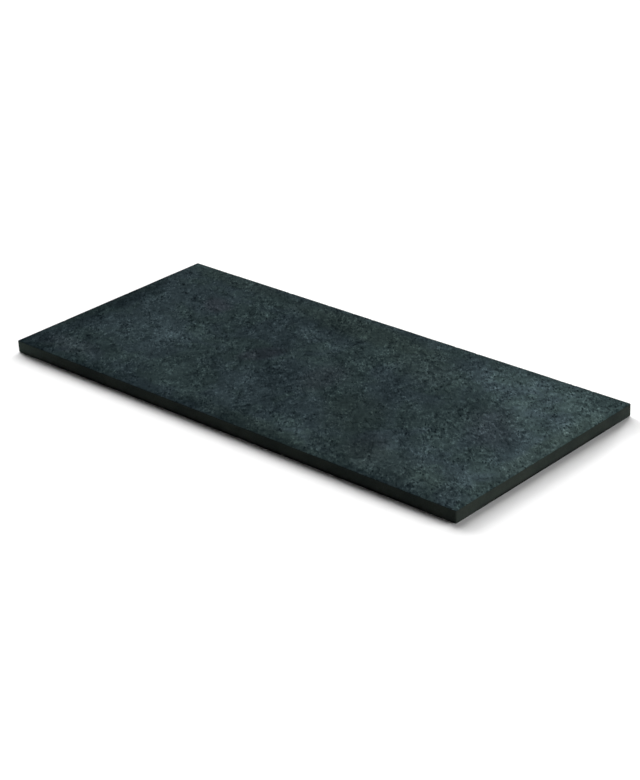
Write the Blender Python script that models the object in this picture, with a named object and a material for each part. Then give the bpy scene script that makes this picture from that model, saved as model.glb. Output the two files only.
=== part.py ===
"""Basalt massage stone: one thin rectangular slab sawn from a single block of stone.

Units are metres, +Z up. The origin is the middle of the sawn underside, +X runs
along the length and +Y across the width. Run it with
blender --background --python part.py, or from the text editor.
"""

import bmesh
import bpy
from mathutils import Vector

# Driving dimensions, in metres.
SLAB_LENGTH = 0.400
SLAB_WIDTH = 0.180
SLAB_THICKNESS = 0.009
CORNER_RADIUS = 0.0010
TOP_ARRIS_RADIUS = 0.0005
FOOT_ARRIS_RADIUS = 0.0008

# How finely the rounds are divided.
CORNER_SEGMENTS = 8
ARRIS_SEGMENTS = 3
SHARP_ANGLE = 0.6

# Blue-grey basalt with a brushed, matte skin.
STONE_COLOUR = (0.028, 0.041, 0.045, 1.0)
STONE_ROUGHNESS = 0.62


def clear_scene():
    for leftover in list(bpy.data.objects):
        bpy.data.objects.remove(leftover, do_unlink=True)


def stone_material():
    material = bpy.data.materials.new("basalt")
    material.use_nodes = True
    shader = material.node_tree.nodes["Principled BSDF"]
    shader.inputs["Base Color"].default_value = STONE_COLOUR
    shader.inputs["Roughness"].default_value = STONE_ROUGHNESS
    shader.inputs["Metallic"].default_value = 0.0
    return material


def edge_direction(edge):
    return (edge.verts[1].co - edge.verts[0].co).normalized()


def sawn_block(slab):
    """A sharp-edged block of the slab's full size, resting on z = 0."""
    made = bmesh.ops.create_cube(slab, size=1.0)
    size = Vector((SLAB_LENGTH, SLAB_WIDTH, SLAB_THICKNESS))
    bmesh.ops.scale(slab, vec=size, verts=made["verts"])
    to_underside = Vector((0.0, 0.0, SLAB_THICKNESS / 2))
    bmesh.ops.translate(slab, vec=to_underside, verts=made["verts"])


def round_edges(slab, edges, radius, segments):
    bmesh.ops.bevel(
        slab,
        geom=edges,
        offset=radius,
        offset_type="OFFSET",
        affect="EDGES",
        segments=segments,
        profile=0.5,
        material=-1,
        clamp_overlap=True,
    )


def round_corners(slab):
    """The four upright corners, where an end meets a long side."""
    upright = [edge for edge in slab.edges if abs(edge_direction(edge).z) > 0.5]
    round_edges(slab, upright, CORNER_RADIUS, CORNER_SEGMENTS)


def rim_of(slab, side):
    """The edges round the top face (side 1) or round the underside (side -1)."""
    faces = [face for face in slab.faces if face.normal.z * side > 0.5]
    inside = set(faces)
    return [
        edge
        for face in faces
        for edge in face.edges
        if any(other not in inside for other in edge.link_faces)
    ]


def ease_arrises(slab):
    """A fine round on the top rim, and a fuller one on the rim that meets the table."""
    round_edges(slab, rim_of(slab, 1), TOP_ARRIS_RADIUS, ARRIS_SEGMENTS)
    round_edges(slab, rim_of(slab, -1), FOOT_ARRIS_RADIUS, ARRIS_SEGMENTS)


def basalt_slab():
    slab = bmesh.new()
    sawn_block(slab)
    round_corners(slab)
    slab.normal_update()
    ease_arrises(slab)
    mesh = bpy.data.meshes.new("basalt_slab")
    slab.to_mesh(mesh)
    slab.free()
    mesh.shade_smooth()
    mesh.set_sharp_from_angle(angle=SHARP_ANGLE)
    mesh.materials.append(stone_material())
    piece = bpy.data.objects.new("basalt_slab", mesh)
    bpy.context.scene.collection.objects.link(piece)


clear_scene()
basalt_slab()
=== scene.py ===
"""Looks of the basalt massage stone: a thin sawn slab with a brushed, finely pitted top.

The slab is made from the frame's own box, in metres and in the frame's axes:
+X along the length, +Y across the width, +Z up to the brushed face.
"""

import math

import bmesh
import bpy
from mathutils import Matrix, Vector, noise


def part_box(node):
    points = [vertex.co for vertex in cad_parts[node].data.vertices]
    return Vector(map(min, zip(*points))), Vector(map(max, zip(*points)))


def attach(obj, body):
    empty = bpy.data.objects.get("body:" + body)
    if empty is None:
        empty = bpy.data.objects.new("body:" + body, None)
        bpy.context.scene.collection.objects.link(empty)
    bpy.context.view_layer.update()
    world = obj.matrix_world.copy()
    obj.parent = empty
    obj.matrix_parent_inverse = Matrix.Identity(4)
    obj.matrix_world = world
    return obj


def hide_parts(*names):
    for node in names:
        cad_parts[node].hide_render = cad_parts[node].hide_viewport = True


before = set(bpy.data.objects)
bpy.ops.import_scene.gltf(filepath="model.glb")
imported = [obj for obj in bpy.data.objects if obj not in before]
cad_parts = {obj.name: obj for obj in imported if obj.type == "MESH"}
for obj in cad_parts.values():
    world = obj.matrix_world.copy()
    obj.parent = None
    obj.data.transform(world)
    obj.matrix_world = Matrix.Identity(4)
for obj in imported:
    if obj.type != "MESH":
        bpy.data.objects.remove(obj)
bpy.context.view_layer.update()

# The slab's outline, from the frame, and the rounds of its corners and arrises.
SLAB_LOW, SLAB_HIGH = (Vector(corner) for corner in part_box("basalt_slab"))
HALF_LENGTH = (SLAB_HIGH.x - SLAB_LOW.x) / 2
HALF_WIDTH = (SLAB_HIGH.y - SLAB_LOW.y) / 2
TOP = SLAB_HIGH.z
UNDERSIDE = SLAB_LOW.z
CORNER_RADIUS = 0.0010
TOP_ARRIS_RADIUS = 0.0005
FOOT_ARRIS_RADIUS = 0.0008
ARRIS_STEPS = 3

# Mesh density: even cells inside, closing up towards the rim. A narrow strip joins the
# underside's grid to the round of the foot.
TOP_PITCH = 0.00118
UNDERSIDE_PITCH = 0.0024
RIM_STEPS = (0.00025, 0.00025, 0.00025, 0.00025, 0.0004, 0.0006, 0.0008, 0.0010)
UNDERSIDE_RIM_STEPS = (0.0005, 0.0005, 0.0010, 0.0016)
SIDE_ROWS = 6
BRIDGE_INSET = 0.0006

# Relief of the brushed top: wave size and depth of each layer, how far the middle height
# lies under the highest plane, and the deepest that it goes.
SWELL_SIZE, SWELL_DEPTH = 0.045, 0.00010
PILLOW_SIZE, PILLOW_DEPTH = 0.013, 0.00012
LUMP_SIZE, LUMP_DEPTH = 0.0045, 0.00009
DIMPLE_SPACING, DIMPLE_DEPTH = 0.0085, 0.00032
HIGH_SPOT_CUT = 0.00012
DEEPEST_RELIEF = 0.00060
SWELL_SEED, PILLOW_SEED, LUMP_SEED, DIMPLE_SEED = 1.3, 5.1, 9.6, 3.7

# Dimples: the share of spots that have none, their least and added reach as shares of
# the spacing, and a factor that gives each spot a chance of its own.
BARE_SPOTS = 0.45
DIMPLE_REACH, DIMPLE_MORE_REACH = 0.12, 0.16
DIMPLE_SCATTER = 7.3

# The worn top arris: how many waves a metre, how deep, and how high a wave makes a nick.
WEAR_WAVES, WEAR_DEPTH, WEAR_SEED = 45, 0.00012, 23.0
NICK_WAVES, NICK_DEPTH, NICK_SEED = 210, 0.0009, 17.0
NICK_FROM = 0.38

# Millimetres in a metre.
MM = 1000.0

# One map for the whole slab: the two big faces, then the sides as strips. The two end
# strips share a row, and the right one starts halfway along it. A face that looks up or
# down by more than FACE_TURN belongs to one of the big faces.
BAKE_MAP = "OFBake"
MAP_GAP = 0.006
MAP_SCALE = (1.0 - 2 * MAP_GAP) / (2 * HALF_LENGTH)
SIDE_STRETCH = 1.25
RIGHT_STRIP_START = 0.5
FACE_TURN = 0.5

# The slab's three finishes, and how level a face must be to count as the underside.
TOP_FINISH, SIDE_FINISH, UNDERSIDE_FINISH = 0, 1, 2
FLAT_WITHIN = 0.00005

# Stone colours, and the gloss of each finish.
BLUE_SLATE = (0.0158, 0.0226, 0.0249, 1.0)
GREEN_SLATE = (0.0157, 0.0234, 0.0231, 1.0)
VIOLET_SLATE = (0.0178, 0.0208, 0.0243, 1.0)
MOSS_SLATE = (0.0162, 0.0233, 0.0207, 1.0)
DEEP_BLUE = (0.0, 0.0021, 0.0036, 1.0)
SIDE_DARK = (0.0138, 0.0178, 0.0163, 1.0)
SIDE_OLIVE = (0.0204, 0.0252, 0.0216, 1.0)
# the colour of the painted light at the left end of the sides
SIDE_PAINTED_LIGHT = (0.0330, 0.0450, 0.0394, 1.0)
TOP_SPECULAR = 0.001
SIDE_SPECULAR = 0.01
UNDERSIDE_SPECULAR = 0.05
TOP_ROUGHNESS = (0.86, 0.70)
SIDE_ROUGHNESS = (0.62, 0.52)
UNDERSIDE_ROUGHNESS = (0.68, 0.58)

# The sides' painted light and shade: a painted contact shadow, a dark line along the foot
# that fades out towards the corners; painted light low down, lifting the shade near the
# floor; painted shade on the right, back and left sides, against the lamps that light them;
# and how far painted light on the sides reaches in from the left.
CONTACT_SHADOW_BAND = 0.0028
CONTACT_SHADOW_TONE = 0.0
CONTACT_SHADOW_FADE = (0.008, 0.040)
PAINTED_LOW_LIGHT_TONE = 1.25
RIGHT_END_PAINTED_SHADE = 0.96
BACK_SIDE_PAINTED_SHADE = 0.40
LEFT_SIDE_PAINTED_SHADE = 0.50
PAINTED_LIGHT_LEFT_REACH = 0.055

# How much paler or darker each pattern of the top makes the stone, from its low places
# to its high ones, and how lively the fine patterns are from calm places to busy ones.
# The drift, lumps and grain are partly the stone's mottling and partly painted shade in
# the low places of their bumps; the pits and clefts hold painted shade, and the pale
# fibres are partly painted glints.
CLOUD_TONES = (0.82, 1.22)
DRIFT_TONES = (0.64, 1.40)
LUMP_TONES = (0.56, 1.48)
GRAIN_TONES = (0.52, 1.45)
FIBRE_AND_GLINT_TONES = (0.94, 1.66)
PIT_SHADE_TONES = (0.40, 1.04)
CLEFT_SHADE_TONES = (1.02, 0.62)
CALM_TO_BUSY = (0.45, 1.25)

# How high or deep each pattern stands in the top's bumps, in millimetres.
DRIFT_RISE = 1.1
LUMP_RISE = 0.35
CLEFT_CUT = 0.22
GRAIN_RISE = 0.40
FIBRE_RISE = 0.08
PIT_CUT = 0.16

# The tones and bumps of the sides and the underside.
SIDE_GRAIN_TONES = (0.88, 1.12)
SIDE_LINE_RISE = 0.012
SAWN_GRAIN_TONES = (0.75, 1.25)
SAW_MARK_RISE = 0.08

# The stretches of a noise's values that are spread over a pattern's tones.
WIDE_PART = (0.25, 0.75)
MIDDLE_PART = (0.30, 0.70)
NARROW_PART = (0.35, 0.65)

# Painted light: where the top grows paler towards its right end, and its tone before and after.
PAINTED_LIGHT_FROM_TO = (0.05, 0.20)
PAINTED_LIGHT_TONES = (1.0, 1.46)

# The darker margin along the front edge: its width, and its tone at the very edge.
FRONT_MARGIN = 0.020
FRONT_TONE = 0.58

# Soft patches of the top, in millimetres and degrees, measured from its middle:
# x, y, half length, half width, turn, and how much paler or darker the stone is there.
TONE_PATCHES = (
    (-192, 12, 64, 15, 90, -0.50),
    (-192, -42, 46, 15, 90, -0.30),
    (-137, 46, 22, 16, 0, -0.16),
    (-135, -22, 64, 38, 8, 0.17),
    (-120, -20, 16, 12, 20, 0.30),
    (-98, -2, 24, 12, -30, 0.20),
    (-152, -57, 26, 14, -40, -0.22),
    (-168, -64, 22, 12, 0, 0.12),
    (-130, 76, 70, 12, 0, -0.12),
    (-62, 58, 16, 11, 0, -0.30),
    (-44, 46, 20, 12, 0, 0.22),
    (-88, -56, 24, 13, 0, 0.20),
    (-15, 38, 22, 13, 20, 0.32),
    (-45, 4, 42, 22, 70, -0.20),
    (-35, 61, 34, 9, -5, -0.26),
    (42, 44, 46, 34, 0, 0.20),
    (-12, -12, 34, 15, 90, -0.14),
    (-37, -45, 18, 16, 0, -0.18),
    (-14, -52, 30, 24, 0, 0.06),
    (98, 60, 46, 30, 0, 0.20),
    (62, 56, 15, 10, 0, -0.22),
    (140, 64, 84, 34, -10, 0.30),
    (149, 42, 56, 15, -50, 0.36),
    (188, 22, 60, 14, 90, 0.20),
    (164, 66, 20, 18, 0, 0.26),
    (162, 16, 18, 14, 0, -0.16),
    (87, -2, 16, 18, 0, 0.24),
    (100, -82, 30, 10, 0, 0.22),
    (190, -82, 14, 10, 0, 0.24),
    (183, -30, 50, 15, 90, 0.26),
    (132, 57, 18, 10, -30, -0.36),
    (110, 6, 38, 13, -50, -0.20),
    (66, -22, 46, 30, -60, -0.08),
    (100, -50, 32, 16, -60, -0.26),
    (54, -71, 48, 10, -28, 0.46),
    (107, -45, 24, 8, -40, 0.36),
    (116, -79, 24, 8, -12, 0.24),
)

# Tinted patches of the top: x, y, half length, half width, turn, and share of the tint.
VIOLET_PATCHES = (
    (-129, 41, 18, 13, -20, 0.8),
    (-45, 0, 24, 12, 60, 0.8),
    (14, -2, 20, 30, 0, 0.5),
    (150, 8, 40, 24, -50, 0.4),
    (-165, -72, 40, 16, 0, 0.4),
    (106, -62, 30, 18, -50, 0.5),
)
GREEN_PATCHES = (
    (-16, 72, 110, 20, -4, 0.8),
    (60, 50, 50, 26, -20, 0.5),
    (66, -30, 40, 30, -60, 0.6),
    (30, -84, 80, 14, -4, 0.7),
    (194, 0, 94, 12, 90, 0.65),
    (-140, 82, 66, 14, 0, 0.6),
    (126, -72, 84, 26, 0, 0.45),
    (-197, 0, 90, 8, 90, 0.4),
)

# A patch has its full strength from its middle out to where it has fallen to this share.
PATCH_CORE = 0.65

# The brush went over the top on a slant, and drew its grain out that way. The sides
# were honed lengthways, and the saw left its marks across the underside.
BRUSH_STRETCH = 2.2
BRUSH_TURN = 133.0
HONING_STRETCH = 8.0
SAW_STRETCH = 30.0
SAW_TURN = 17.0

# Places of the colour sockets on a Mix node.
MIX_FIRST_COLOUR = 6
MIX_SECOND_COLOUR = 7
MIX_COLOUR_OUT = 2

# Studio: a pale floor, a broad key from behind and the left, and low fills.
FLOOR_HALF_SPAN = 12.0
FLOOR_GAP = 0.00005
FLOOR_COLOUR = (0.86, 0.86, 0.86, 1.0)
FLOOR_ROUGHNESS = 0.9
FLOOR_LIGHT = 4.0
WHITE = (1.0, 1.0, 1.0, 1.0)
# name, share of the floor's light, side in degrees from +X, elevation, spread
SUNS = (
    ("key_light", 0.46, 136.0, 41.0, 44.0),
    ("low_key_light", 0.27, 164.0, 22.0, 24.0),
    ("back_fill", 0.13, 45.0, 26.0, 22.0),
    ("side_fill", 0.072, 12.0, 8.0, 12.0),
    ("horizon_light", 0.14, 108.0, 8.0, 12.0),
    ("left_light", 0.06, 180.0, 9.0, 12.0),
)
AMBIENT = 0.01
BACKDROP = 1.1

# Camera, in degrees, millimetres of lens and metres.
CAMERA_AZIMUTH = 43.50
CAMERA_ELEVATION = 25.85
CAMERA_ROLL = -2.64
CAMERA_LENS = 93.95
CAMERA_SENSOR = 36.0
CAMERA_AIM = (0.0259, -0.0182)
CAMERA_DISTANCE = 1.3542


def clamp(value, limit):
    return max(-limit, min(limit, value))


# ---------------------------------------------------------------- slab outline


def outline_spot(place, inset, height):
    """The point of the slab's rounded outline beside place, drawn in by inset."""
    core = Vector((
        clamp(place.x, HALF_LENGTH - CORNER_RADIUS),
        clamp(place.y, HALF_WIDTH - CORNER_RADIUS),
        0.0,
    ))
    outward = (Vector((place.x, place.y, 0.0)) - core).normalized()
    spot = core + outward * (CORNER_RADIUS - inset)
    return Vector((spot.x, spot.y, height))


def line_places(half_span, pitch, rim_steps):
    """Places of the grid's lines across one span, fine at both rims."""
    rim = [half_span]
    for step in rim_steps:
        rim.append(rim[-1] - step)
    inner = rim[-1]
    cells = math.ceil(2 * inner / pitch)
    middle = [-inner + 2 * inner * i / cells for i in range(1, cells)]
    return [-place for place in rim] + middle + rim[::-1]


def flat_grid(slab, pitch, rim_steps, inset, height):
    """A grid over the flat part of a face, drawn in by inset, with its corners rounded.

    It starts as a unit square, and its columns and rows are then moved to their places.
    """
    columns = line_places(HALF_LENGTH - inset, pitch, rim_steps)
    rows = line_places(HALF_WIDTH - inset, pitch, rim_steps)
    across, along = len(columns) - 1, len(rows) - 1
    made = bmesh.ops.create_grid(slab, x_segments=across, y_segments=along, size=0.5)
    for vert in made["verts"]:
        column = round((vert.co.x + 0.5) * across)
        row = round((vert.co.y + 0.5) * along)
        vert.co = rounded_corner(columns[column], rows[row], height)
    return made["verts"]


def rounded_corner(x, y, height):
    """Turns the square corner of a grid into a round one, ring by ring."""
    core_x = clamp(x, HALF_LENGTH - CORNER_RADIUS)
    core_y = clamp(y, HALF_WIDTH - CORNER_RADIUS)
    out = Vector((x - core_x, y - core_y, 0.0))
    if out.x and out.y:
        out *= max(abs(out.x), abs(out.y)) / out.length
    return Vector((core_x + out.x, core_y + out.y, height))


def arris_profile(radius):
    """(inset, drop) along a quarter round, from the flat face to the side."""
    turns = [math.pi / 2 * step / ARRIS_STEPS for step in range(1, ARRIS_STEPS + 1)]
    return [
        (radius * (1 - math.sin(turn)), radius * (1 - math.cos(turn)))
        for turn in turns
    ]


# ------------------------------------------------------------- surface relief


def layer(place, size, seed):
    """Smooth noise between about -1 and 1 with waves of the given size."""
    return noise.noise(Vector((place.x / size, place.y / size, seed)))


def dimple(place):
    """Depth of the scattered pits that brushing left in the softer spots."""
    spot = Vector((place.x / DIMPLE_SPACING, place.y / DIMPLE_SPACING, DIMPLE_SEED))
    distances, centres = noise.voronoi(spot)
    chance = noise.cell(centres[0] * DIMPLE_SCATTER)
    reach = DIMPLE_REACH + DIMPLE_MORE_REACH * chance
    if chance < BARE_SPOTS or distances[0] > reach:
        return 0.0
    return DIMPLE_DEPTH * chance * (1 - (distances[0] / reach) ** 2)


def relief(place):
    """Depth of the brushed face under its highest plane."""
    depth = HIGH_SPOT_CUT
    depth += SWELL_DEPTH * layer(place, SWELL_SIZE, SWELL_SEED)
    depth += PILLOW_DEPTH * layer(place, PILLOW_SIZE, PILLOW_SEED)
    depth += LUMP_DEPTH * layer(place, LUMP_SIZE, LUMP_SEED)
    depth += dimple(place)
    return max(0.0, min(DEEPEST_RELIEF, depth))


def chip(place):
    """How far the top arris is worn back, mostly nothing and here and there a nick."""
    nick = noise.noise(Vector((place.x * NICK_WAVES, place.y * NICK_WAVES, NICK_SEED)))
    wear = noise.noise(Vector((place.x * WEAR_WAVES, place.y * WEAR_WAVES, WEAR_SEED)))
    return WEAR_DEPTH * max(0.0, wear) + NICK_DEPTH * max(0.0, nick - NICK_FROM)


# --------------------------------------------------------------- slab building


def rim_edges(verts):
    """The open edges round a grid, each given once."""
    chosen = set(verts)
    return [
        edge
        for vert in verts
        for edge in vert.link_edges
        if edge.is_boundary and edge.verts[0] is vert and edge.verts[1] in chosen
    ]


def extrude_ring(slab, edges, inset, height, wear=0.0):
    """Carries the rim on by one ring of faces, and returns the new rim."""
    made = bmesh.ops.extrude_edge_only(slab, edges=edges)["geom"]
    ring = [item for item in made if isinstance(item, bmesh.types.BMVert)]
    for vert in ring:
        nick = wear * chip(vert.co)
        vert.co = outline_spot(vert.co, inset + nick, height - nick)
    return [
        item
        for item in made
        if isinstance(item, bmesh.types.BMEdge) and item.is_boundary
    ]


def top_arris(slab, rim):
    """Rolls the rim of the top over to the sides, worn most at its upper edge."""
    for inset, drop in arris_profile(TOP_ARRIS_RADIUS):
        wear = 1.0 - drop / (2 * TOP_ARRIS_RADIUS)
        rim = extrude_ring(slab, rim, inset, TOP - drop, wear)
    return rim


def upright_sides(slab, rim):
    side_top = TOP - TOP_ARRIS_RADIUS
    side_foot = UNDERSIDE + FOOT_ARRIS_RADIUS
    for row in range(1, SIDE_ROWS + 1):
        height = side_top + (side_foot - side_top) * row / SIDE_ROWS
        rim = extrude_ring(slab, rim, 0.0, height)
    return rim


def foot_arris(slab, rim):
    """Rolls the foot of the sides in under the slab."""
    for inset, rise in reversed(arris_profile(FOOT_ARRIS_RADIUS)[:-1]):
        rim = extrude_ring(slab, rim, inset, UNDERSIDE + rise)
    return extrude_ring(slab, rim, FOOT_ARRIS_RADIUS, UNDERSIDE)


def build_slab():
    slab = bmesh.new()
    top = flat_grid(slab, TOP_PITCH, RIM_STEPS, TOP_ARRIS_RADIUS, TOP)
    rim = top_arris(slab, rim_edges(top))
    rim = upright_sides(slab, rim)
    rim = foot_arris(slab, rim)
    under_inset = FOOT_ARRIS_RADIUS + BRIDGE_INSET
    under = flat_grid(slab, UNDERSIDE_PITCH, UNDERSIDE_RIM_STEPS, under_inset, UNDERSIDE)
    bmesh.ops.bridge_loops(slab, edges=rim + rim_edges(under))
    for vert in top:
        vert.co.z = TOP - relief(vert.co)
    return slab


def face_charts(slab):
    """Lays the top, the underside and the four sides out side by side on one map."""
    layer_uv = slab.loops.layers.uv.new(BAKE_MAP)
    for face in slab.faces:
        chart = chart_of(face.normal)
        for loop in face.loops:
            loop[layer_uv].uv = chart_place(chart, loop.vert.co)


def chart_of(normal):
    """The side of the slab that a face looks out from."""
    if abs(normal.z) > FACE_TURN:
        return "top" if normal.z > 0 else "underside"
    if abs(normal.y) > abs(normal.x):
        return "front" if normal.y < 0 else "back"
    return "right" if normal.x > 0 else "left"


def finish_of(face):
    """The brushed top, the honed sides down to the foot's round, or the sawn underside."""
    if chart_of(face.normal) == "top":
        return TOP_FINISH
    if face.calc_center_median().z > UNDERSIDE + FLAT_WITHIN:
        return SIDE_FINISH
    return UNDERSIDE_FINISH


def chart_place(chart, co):
    """Where a point of the slab lies on the map, within the chart of its side."""
    along = (co.x + HALF_LENGTH) * MAP_SCALE + MAP_GAP
    across = (co.y + HALF_WIDTH) * MAP_SCALE
    upright = (co.z - UNDERSIDE) * MAP_SCALE * SIDE_STRETCH
    face_height = 2 * HALF_WIDTH * MAP_SCALE + MAP_GAP
    strip_height = (TOP - UNDERSIDE) * MAP_SCALE * SIDE_STRETCH + MAP_GAP
    strips = MAP_GAP + 2 * face_height
    places = {
        "top": (along, MAP_GAP + across),
        "underside": (along, MAP_GAP + face_height + across),
        "front": (along, strips + upright),
        "back": (along, strips + strip_height + upright),
        "left": (MAP_GAP + across, strips + 2 * strip_height + upright),
        "right": (RIGHT_STRIP_START + MAP_GAP + across, strips + 2 * strip_height + upright),
    }
    return places[chart]


def stone_slab():
    slab = build_slab()
    bmesh.ops.recalc_face_normals(slab, faces=slab.faces)
    slab.normal_update()
    for face in slab.faces:
        face.smooth = True
        face.material_index = finish_of(face)
    face_charts(slab)
    mesh = bpy.data.meshes.new("massage_stone")
    slab.to_mesh(mesh)
    slab.free()
    for material in (brushed_top(), honed_side(), sawn_underside()):
        mesh.materials.append(material)
    piece = bpy.data.objects.new("massage_stone", mesh)
    bpy.context.scene.collection.objects.link(piece)
    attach(piece, "root")
    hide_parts("basalt_slab")
    return piece


# ------------------------------------------------------------------- materials


class StoneFinish:
    """A stone material under construction, with its patterns measured in millimetres."""

    def __init__(self, name, specular):
        self.material = bpy.data.materials.new(name)
        self.material.use_nodes = True
        self.tree = self.material.node_tree
        self.shader = self.tree.nodes["Principled BSDF"]
        self.shader.inputs["Specular IOR Level"].default_value = specular
        coordinates = self.tree.nodes.new("ShaderNodeTexCoord")
        self.places = coordinates.outputs["Object"]

    def link(self, output, target):
        self.tree.links.new(output, target)

    def feed(self, value, target):
        """Sets a socket to a plain value, or links it to another node's output."""
        if isinstance(value, bpy.types.NodeSocket):
            self.link(value, target)
        else:
            target.default_value = value

    def turned(self, stretch, turn=0.0, centre=(0.0, 0.0), places=None):
        """Places measured from a centre along turned axes, each divided by its stretch."""
        mapping = self.tree.nodes.new("ShaderNodeMapping")
        mapping.vector_type = "TEXTURE"
        mapping.inputs["Location"].default_value = (centre[0], centre[1], 0.0)
        mapping.inputs["Rotation"].default_value = (0.0, 0.0, math.radians(turn))
        mapping.inputs["Scale"].default_value = stretch
        self.link(places or self.places, mapping.inputs["Vector"])
        return mapping.outputs["Vector"]

    def noise(self, size_mm, seed, detail=3.0, roughness=0.5, distortion=0.0, places=None):
        """Mottling whose spots are about size_mm across. Each pattern has its own seed."""
        made = self.tree.nodes.new("ShaderNodeTexNoise")
        made.noise_dimensions = "4D"
        made.inputs["W"].default_value = seed
        made.inputs["Scale"].default_value = MM / size_mm
        made.inputs["Detail"].default_value = detail
        made.inputs["Roughness"].default_value = roughness
        made.inputs["Distortion"].default_value = distortion
        self.link(places or self.places, made.inputs["Vector"])
        return made.outputs["Fac"]

    def wandering(self, size_mm, seed, reach_mm):
        """Places shifted to and fro by up to about reach_mm, so that patches have ragged edges."""
        drift = self.tree.nodes.new("ShaderNodeTexNoise")
        drift.noise_dimensions = "4D"
        drift.inputs["W"].default_value = seed
        drift.inputs["Scale"].default_value = MM / size_mm
        drift.inputs["Detail"].default_value = 3.0
        self.link(self.places, drift.inputs["Vector"])
        shift = self.tree.nodes.new("ShaderNodeVectorMath")
        shift.operation = "MULTIPLY_ADD"
        reach = 2 * reach_mm / MM
        self.link(drift.outputs["Color"], shift.inputs[0])
        shift.inputs[1].default_value = (reach, reach, 0.0)
        shift.inputs[2].default_value = (-reach / 2, -reach / 2, 0.0)
        moved = self.tree.nodes.new("ShaderNodeVectorMath")
        self.link(self.places, moved.inputs[0])
        self.link(shift.outputs["Vector"], moved.inputs[1])
        return moved.outputs["Vector"]

    def patch(self, places, x, y, half_length, half_width, turn):
        """A soft oval that is 1 in its middle and 0 at its rim."""
        stretch = (half_length / MM, half_width / MM, 1.0)
        oval = self.turned(stretch, turn, (x / MM, y / MM), places)
        fall = self.tree.nodes.new("ShaderNodeTexGradient")
        fall.gradient_type = "SPHERICAL"
        self.link(oval, fall.inputs["Vector"])
        return self.spread(fall.outputs["Fac"], 0.0, PATCH_CORE)

    def patched(self, value, places, patches, blend):
        """Carries a value through a list of patches, each blended in by its own strength."""
        for *oval, strength in patches:
            value = blend(value, self.patch(places, *oval), strength)
        return value

    def toned_patch(self, tone, share, strength):
        """A patch that makes the stone paler, or darker where its strength is negative."""
        return self.product(tone, self.sum_of("MULTIPLY_ADD", share, strength, 1.0))

    def joined_patch(self, cover, share, strength):
        """A patch that is laid beside the others, where the strongest one counts."""
        return self.sum_of("MAXIMUM", cover, self.product(share, strength))

    def axis(self, name):
        """The distance along one axis of the slab."""
        split = self.tree.nodes.new("ShaderNodeSeparateXYZ")
        self.link(self.places, split.inputs["Vector"])
        return split.outputs[name]

    def distance_along(self, name):
        """The distance from the slab's middle along one axis, never below zero."""
        return self.sum_of("ABSOLUTE", self.axis(name), 0.0)

    def cells(self, size_mm, places=None, measure="F1"):
        """Distance to the nearest cell's middle, or to the nearest border between cells."""
        made = self.tree.nodes.new("ShaderNodeTexVoronoi")
        made.feature = measure
        made.inputs["Scale"].default_value = MM / size_mm
        self.link(places or self.places, made.inputs["Vector"])
        return made.outputs["Distance"]

    def spread(self, value, low, high, to_low=0.0, to_high=1.0, smooth=True):
        """Carries the values between low and high over to those between to_low and to_high."""
        made = self.tree.nodes.new("ShaderNodeMapRange")
        made.interpolation_type = "SMOOTHSTEP" if smooth else "LINEAR"
        self.feed(value, made.inputs["Value"])
        made.inputs["From Min"].default_value = low
        made.inputs["From Max"].default_value = high
        made.inputs["To Min"].default_value = to_low
        made.inputs["To Max"].default_value = to_high
        return made.outputs["Result"]

    def sum_of(self, operation, first, second, third=0.0):
        """One step of arithmetic, on plain numbers or on patterns."""
        made = self.tree.nodes.new("ShaderNodeMath")
        made.operation = operation
        self.feed(first, made.inputs[0])
        self.feed(second, made.inputs[1])
        self.feed(third, made.inputs[2])
        return made.outputs["Value"]

    def product(self, *factors):
        total = factors[0]
        for factor in factors[1:]:
            total = self.sum_of("MULTIPLY", total, factor)
        return total

    def mix(self, share, first, second):
        """The first colour, with a share of the second."""
        made = self.tree.nodes.new("ShaderNodeMix")
        made.data_type = "RGBA"
        self.feed(share, made.inputs["Factor"])
        self.feed(first, made.inputs[MIX_FIRST_COLOUR])
        self.feed(second, made.inputs[MIX_SECOND_COLOUR])
        return made.outputs[MIX_COLOUR_OUT]

    def toned(self, colour, tone, floor_colour):
        """The colour multiplied by tone, over a faint colour that the darkest spots keep."""
        made = self.tree.nodes.new("ShaderNodeVectorMath")
        made.operation = "MULTIPLY_ADD"
        self.link(colour, made.inputs[0])
        self.link(tone, made.inputs[1])
        made.inputs[2].default_value = floor_colour[:3]
        return made.outputs["Vector"]

    def tint(self, colour, strength):
        """Multiplies a colour by a plain number that varies over the stone."""
        made = self.tree.nodes.new("ShaderNodeVectorMath")
        made.operation = "SCALE"
        self.link(colour, made.inputs[0])
        self.feed(strength, made.inputs["Scale"])
        return made.outputs["Vector"]

    def bump(self, height, depth_mm, under=None):
        """Raises a pattern by depth_mm, on top of any bump that it is given as under."""
        made = self.tree.nodes.new("ShaderNodeBump")
        made.inputs["Distance"].default_value = depth_mm / MM
        self.link(height, made.inputs["Height"])
        if under is not None:
            self.link(under, made.inputs["Normal"])
        return made.outputs["Normal"]

    def finish(self, colour, roughness, normal):
        self.link(colour, self.shader.inputs["Base Color"])
        self.link(roughness, self.shader.inputs["Roughness"])
        self.link(normal, self.shader.inputs["Normal"])
        return self.material


def top_tint(stone, ragged):
    """The stone's own colour on the top, before any tone: two slates in drifting patches."""
    hue = stone.noise(34, seed=11.0, detail=3, roughness=0.55, distortion=0.6)
    slate = stone.mix(stone.spread(hue, 0.42, 0.58), BLUE_SLATE, GREEN_SLATE)
    violet = stone.patched(0.0, ragged, VIOLET_PATCHES, stone.joined_patch)
    green = stone.patched(0.0, ragged, GREEN_PATCHES, stone.joined_patch)
    return stone.mix(green, stone.mix(violet, slate, VIOLET_SLATE), MOSS_SLATE)


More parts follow.
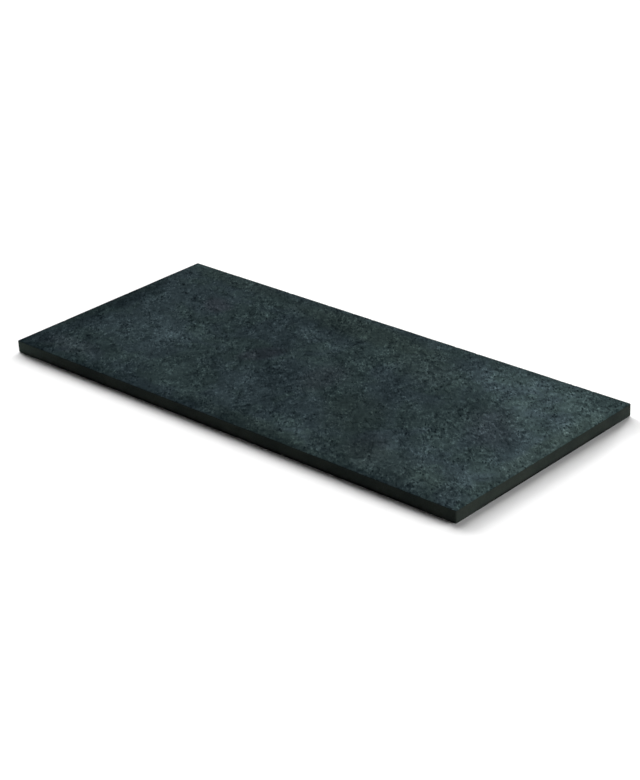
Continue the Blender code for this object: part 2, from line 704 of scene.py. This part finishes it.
def broad_tone(stone, ragged):
    """The slow changes over the top: painted light that grows towards the right end, the patches,
    the front margin.
    """
    # painted light, paler towards the right end
    tone = stone.spread(stone.axis("X"), *PAINTED_LIGHT_FROM_TO, *PAINTED_LIGHT_TONES)
    tone = stone.patched(tone, ragged, TONE_PATCHES, stone.toned_patch)
    front = -HALF_WIDTH
    margin = stone.spread(stone.axis("Y"), front, front + FRONT_MARGIN, FRONT_TONE, 1.0)
    return stone.product(tone, margin)


def fibres_and_glints(stone, grain, brushed):
    """Thin pale threads along the brushing, broken up by the grain: partly the stone's fibres,
    partly painted glints.
    """
    veins = stone.noise(3.4, seed=8.0, detail=1, distortion=1.0, places=brushed)
    offset = stone.sum_of("ABSOLUTE", stone.sum_of("SUBTRACT", veins, 0.5), 0.0)
    thread = stone.spread(offset, 0.0, 0.05, 1.0, 0.0)
    return stone.product(thread, stone.spread(grain, 0.46, 0.60))


def clefts(stone, brushed):
    """Short splits along crooked borders, open only here and there, with painted shade in them."""
    wandering = stone.wandering(7, seed=4.0, reach_mm=4)
    crooked = stone.turned((BRUSH_STRETCH, 1.0, 1.0), turn=BRUSH_TURN, places=wandering)
    border = stone.cells(9, places=crooked, measure="DISTANCE_TO_EDGE")
    cover = stone.noise(8, seed=21.0, detail=1, places=brushed)
    return stone.product(stone.spread(border, 0.0, 0.07, 1.0, 0.0), stone.spread(cover, 0.50, 0.60))


def brushed_top():
    stone = StoneFinish("brushed_basalt", specular=TOP_SPECULAR)
    ragged = stone.wandering(22, seed=1.0, reach_mm=7)
    brushed = stone.turned((BRUSH_STRETCH, 1.0, 1.0), turn=BRUSH_TURN)
    clouds = stone.noise(42, seed=2.0, detail=4, roughness=0.55, distortion=0.4)
    drift = stone.noise(15, seed=5.0, detail=4, roughness=0.6, distortion=0.5, places=brushed)
    calm = stone.noise(11, seed=17.0, detail=2, roughness=0.5, distortion=0.8, places=brushed)
    lumps = stone.noise(5.0, seed=7.0, detail=1, roughness=0.5, distortion=0.6)
    grain = stone.noise(1.7, seed=3.0, detail=2, roughness=0.75, distortion=0.5, places=brushed)
    fibre_and_glint = fibres_and_glints(stone, grain, brushed)
    pit = stone.spread(stone.cells(2.4, places=brushed), 0.12, 0.34)
    cleft = clefts(stone, brushed)

    fine = stone.product(
        # lumps and grain: partly the stone's mottling, partly painted shade in the low places of
        # their bumps
        stone.spread(lumps, *WIDE_PART, *LUMP_TONES, smooth=False),
        stone.spread(grain, *MIDDLE_PART, *GRAIN_TONES, smooth=False),
        # pale fibres: partly the stone's own, partly painted glints
        stone.spread(fibre_and_glint, 0.0, 1.0, *FIBRE_AND_GLINT_TONES, smooth=False),
        # painted shade in the pits
        stone.spread(pit, 0.0, 1.0, *PIT_SHADE_TONES, smooth=False),
    )
    busy = stone.spread(calm, 0.36, 0.60, *CALM_TO_BUSY)
    tone = stone.product(
        broad_tone(stone, ragged),
        stone.spread(clouds, *WIDE_PART, *CLOUD_TONES, smooth=False),
        # drift: partly the stone's mottling, partly painted shade in the low places of its bumps
        stone.spread(drift, *WIDE_PART, *DRIFT_TONES, smooth=False),
        stone.sum_of("MULTIPLY_ADD", stone.sum_of("SUBTRACT", fine, 1.0), busy, 1.0),
        # painted shade in the clefts
        stone.spread(cleft, 0.0, 1.0, *CLEFT_SHADE_TONES, smooth=False),
    )
    colour = stone.toned(top_tint(stone, ragged), tone, DEEP_BLUE)

    roughness = stone.spread(grain, *MIDDLE_PART, *TOP_ROUGHNESS, smooth=False)
    wavy = stone.bump(drift, DRIFT_RISE)
    lumpy = stone.bump(lumps, LUMP_RISE, under=wavy)
    split = stone.bump(stone.sum_of("SUBTRACT", 1.0, cleft), CLEFT_CUT, under=lumpy)
    grained = stone.bump(grain, GRAIN_RISE, under=split)
    ribbed = stone.bump(fibre_and_glint, FIBRE_RISE, under=grained)
    pocked = stone.bump(pit, PIT_CUT, under=ribbed)
    return stone.finish(colour, roughness, pocked)


def painted_contact_shadow(stone):
    """Painted contact shadow: 1 at the very foot of the sides, away from the corners, and 0 above
    and beside it.
    """
    end_distance = stone.sum_of("SUBTRACT", HALF_LENGTH, stone.distance_along("X"))
    side_distance = stone.sum_of("SUBTRACT", HALF_WIDTH, stone.distance_along("Y"))
    from_corner = stone.sum_of("ADD", end_distance, side_distance)
    low = stone.spread(stone.axis("Z"), UNDERSIDE, UNDERSIDE + CONTACT_SHADOW_BAND, 1.0, 0.0)
    return stone.product(low, stone.spread(from_corner, *CONTACT_SHADOW_FADE))


def painted_side_light_and_shade(stone):
    """Painted light low down, and painted shade on each of the right, back and left sides, against
    the lamps that light them.
    """
    right, back, left = HALF_LENGTH, HALF_WIDTH, -HALF_LENGTH
    return stone.product(
        # painted light low down, lifting the shade near the floor
        stone.spread(stone.axis("Z"), UNDERSIDE, TOP, PAINTED_LOW_LIGHT_TONE, 1.0, smooth=False),
        # painted shade on the right end
        stone.spread(stone.axis("X"), right - CORNER_RADIUS, right, 1.0, RIGHT_END_PAINTED_SHADE),
        # painted shade on the back and left sides, which face the key light
        stone.spread(stone.axis("Y"), back - CORNER_RADIUS, back, 1.0, BACK_SIDE_PAINTED_SHADE),
        stone.spread(stone.axis("X"), left, left + CORNER_RADIUS, LEFT_SIDE_PAINTED_SHADE, 1.0),
    )


def honed_side():
    stone = StoneFinish("honed_side_basalt", specular=SIDE_SPECULAR)
    clouds = stone.noise(22, seed=4.0)
    grain = stone.noise(0.9, seed=6.0, detail=3, roughness=0.6)
    base = stone.mix(stone.spread(clouds, *NARROW_PART), SIDE_DARK, SIDE_OLIVE)
    # Painted light: the sides grow paler towards their left end, where light falls on them.
    left = -HALF_LENGTH
    left_end_light = stone.spread(stone.axis("X"), left, left + PAINTED_LIGHT_LEFT_REACH, 1.0, 0.0)
    ended = stone.mix(left_end_light, base, SIDE_PAINTED_LIGHT)
    tone = stone.product(
        stone.spread(grain, *MIDDLE_PART, *SIDE_GRAIN_TONES),
        # painted contact shadow along the foot of the sides
        stone.spread(painted_contact_shadow(stone), 0.0, 1.0, 1.0, CONTACT_SHADOW_TONE, smooth=False),
        # painted light and shade of the sides
        painted_side_light_and_shade(stone),
    )
    colour = stone.tint(ended, tone)
    roughness = stone.spread(grain, *MIDDLE_PART, *SIDE_ROUGHNESS, smooth=False)
    drawn = stone.turned((HONING_STRETCH, HONING_STRETCH, 1.0))
    lines = stone.noise(0.7, seed=7.0, detail=2, places=drawn)
    return stone.finish(colour, roughness, stone.bump(lines, SIDE_LINE_RISE))


def sawn_underside():
    stone = StoneFinish("sawn_underside_basalt", specular=UNDERSIDE_SPECULAR)
    clouds = stone.noise(40, seed=12.0, detail=4, roughness=0.55, distortion=0.4)
    grain = stone.noise(1.6, seed=13.0, detail=4, roughness=0.6, distortion=0.8)
    base = stone.mix(stone.spread(clouds, *NARROW_PART), SIDE_OLIVE, GREEN_SLATE)
    grained = stone.tint(base, stone.spread(grain, *MIDDLE_PART, *SAWN_GRAIN_TONES))
    kerf = stone.turned((1.0, SAW_STRETCH, 1.0), turn=SAW_TURN)
    marks = stone.noise(3.0, seed=14.0, detail=2, places=kerf)
    roughness = stone.spread(grain, *MIDDLE_PART, *UNDERSIDE_ROUGHNESS, smooth=False)
    return stone.finish(grained, roughness, stone.bump(marks, SAW_MARK_RISE))


# ---------------------------------------------------------------------- studio


def floor():
    ground = bmesh.new()
    bmesh.ops.create_grid(ground, x_segments=1, y_segments=1, size=FLOOR_HALF_SPAN)
    bmesh.ops.translate(ground, vec=(0, 0, UNDERSIDE - FLOOR_GAP), verts=ground.verts)
    mesh = bpy.data.meshes.new("studio_floor")
    ground.to_mesh(mesh)
    ground.free()
    paint = bpy.data.materials.new("studio_floor")
    paint.use_nodes = True
    shader = paint.node_tree.nodes["Principled BSDF"]
    shader.inputs["Base Color"].default_value = FLOOR_COLOUR
    shader.inputs["Roughness"].default_value = FLOOR_ROUGHNESS
    shader.inputs["Specular IOR Level"].default_value = 0.0
    mesh.materials.append(paint)
    piece = bpy.data.objects.new("studio_floor", mesh)
    bpy.context.scene.collection.objects.link(piece)


def soft_sun(name, share, toward, elevation, spread):
    """A broad distant light that gives its share of the floor's light."""
    turn = math.radians(toward)
    lift = math.radians(elevation)
    light = bpy.data.lights.new(name, "SUN")
    light.energy = FLOOR_LIGHT * share / math.sin(lift)
    light.angle = math.radians(spread)
    source = Vector((
        math.cos(turn) * math.cos(lift),
        math.sin(turn) * math.cos(lift),
        math.sin(lift),
    ))
    lamp = bpy.data.objects.new(name, light)
    lamp.rotation_euler = source.to_track_quat("Z", "Y").to_euler()
    bpy.context.scene.collection.objects.link(lamp)


def studio_world():
    """A white backdrop to look at, which itself gives only a little light."""
    world = bpy.data.worlds.new("studio_world")
    world.use_nodes = True
    tree = world.node_tree
    background = tree.nodes["Background"]
    path = tree.nodes.new("ShaderNodeLightPath")
    strength = tree.nodes.new("ShaderNodeMapRange")
    strength.inputs["To Min"].default_value = AMBIENT
    strength.inputs["To Max"].default_value = BACKDROP
    background.inputs["Color"].default_value = WHITE
    tree.links.new(path.outputs["Is Camera Ray"], strength.inputs["Value"])
    tree.links.new(strength.outputs["Result"], background.inputs["Strength"])
    bpy.context.scene.world = world


def camera():
    scene = bpy.context.scene
    data = bpy.data.cameras.new("studio_camera")
    data.lens = CAMERA_LENS
    data.sensor_width = CAMERA_SENSOR
    turn = math.radians(CAMERA_AZIMUTH)
    lift = math.radians(CAMERA_ELEVATION)
    roll = math.radians(CAMERA_ROLL)
    back = Vector((
        math.sin(turn) * math.cos(lift),
        -math.cos(turn) * math.cos(lift),
        math.sin(lift),
    ))
    level = Vector((math.cos(turn), math.sin(turn), 0.0))
    upright = back.cross(level)
    right = math.cos(roll) * level + math.sin(roll) * upright
    up = back.cross(right)
    aim = Vector((CAMERA_AIM[0], CAMERA_AIM[1], TOP))
    turned = Matrix((right, up, back)).transposed().to_4x4()
    lens = bpy.data.objects.new("studio_camera", data)
    lens.matrix_world = Matrix.Translation(aim + back * CAMERA_DISTANCE) @ turned
    scene.collection.objects.link(lens)
    scene.camera = lens
    scene.view_settings.view_transform = "Standard"


stone_slab()
floor()
studio_world()
for sun in SUNS:
    soft_sun(*sun)
camera()
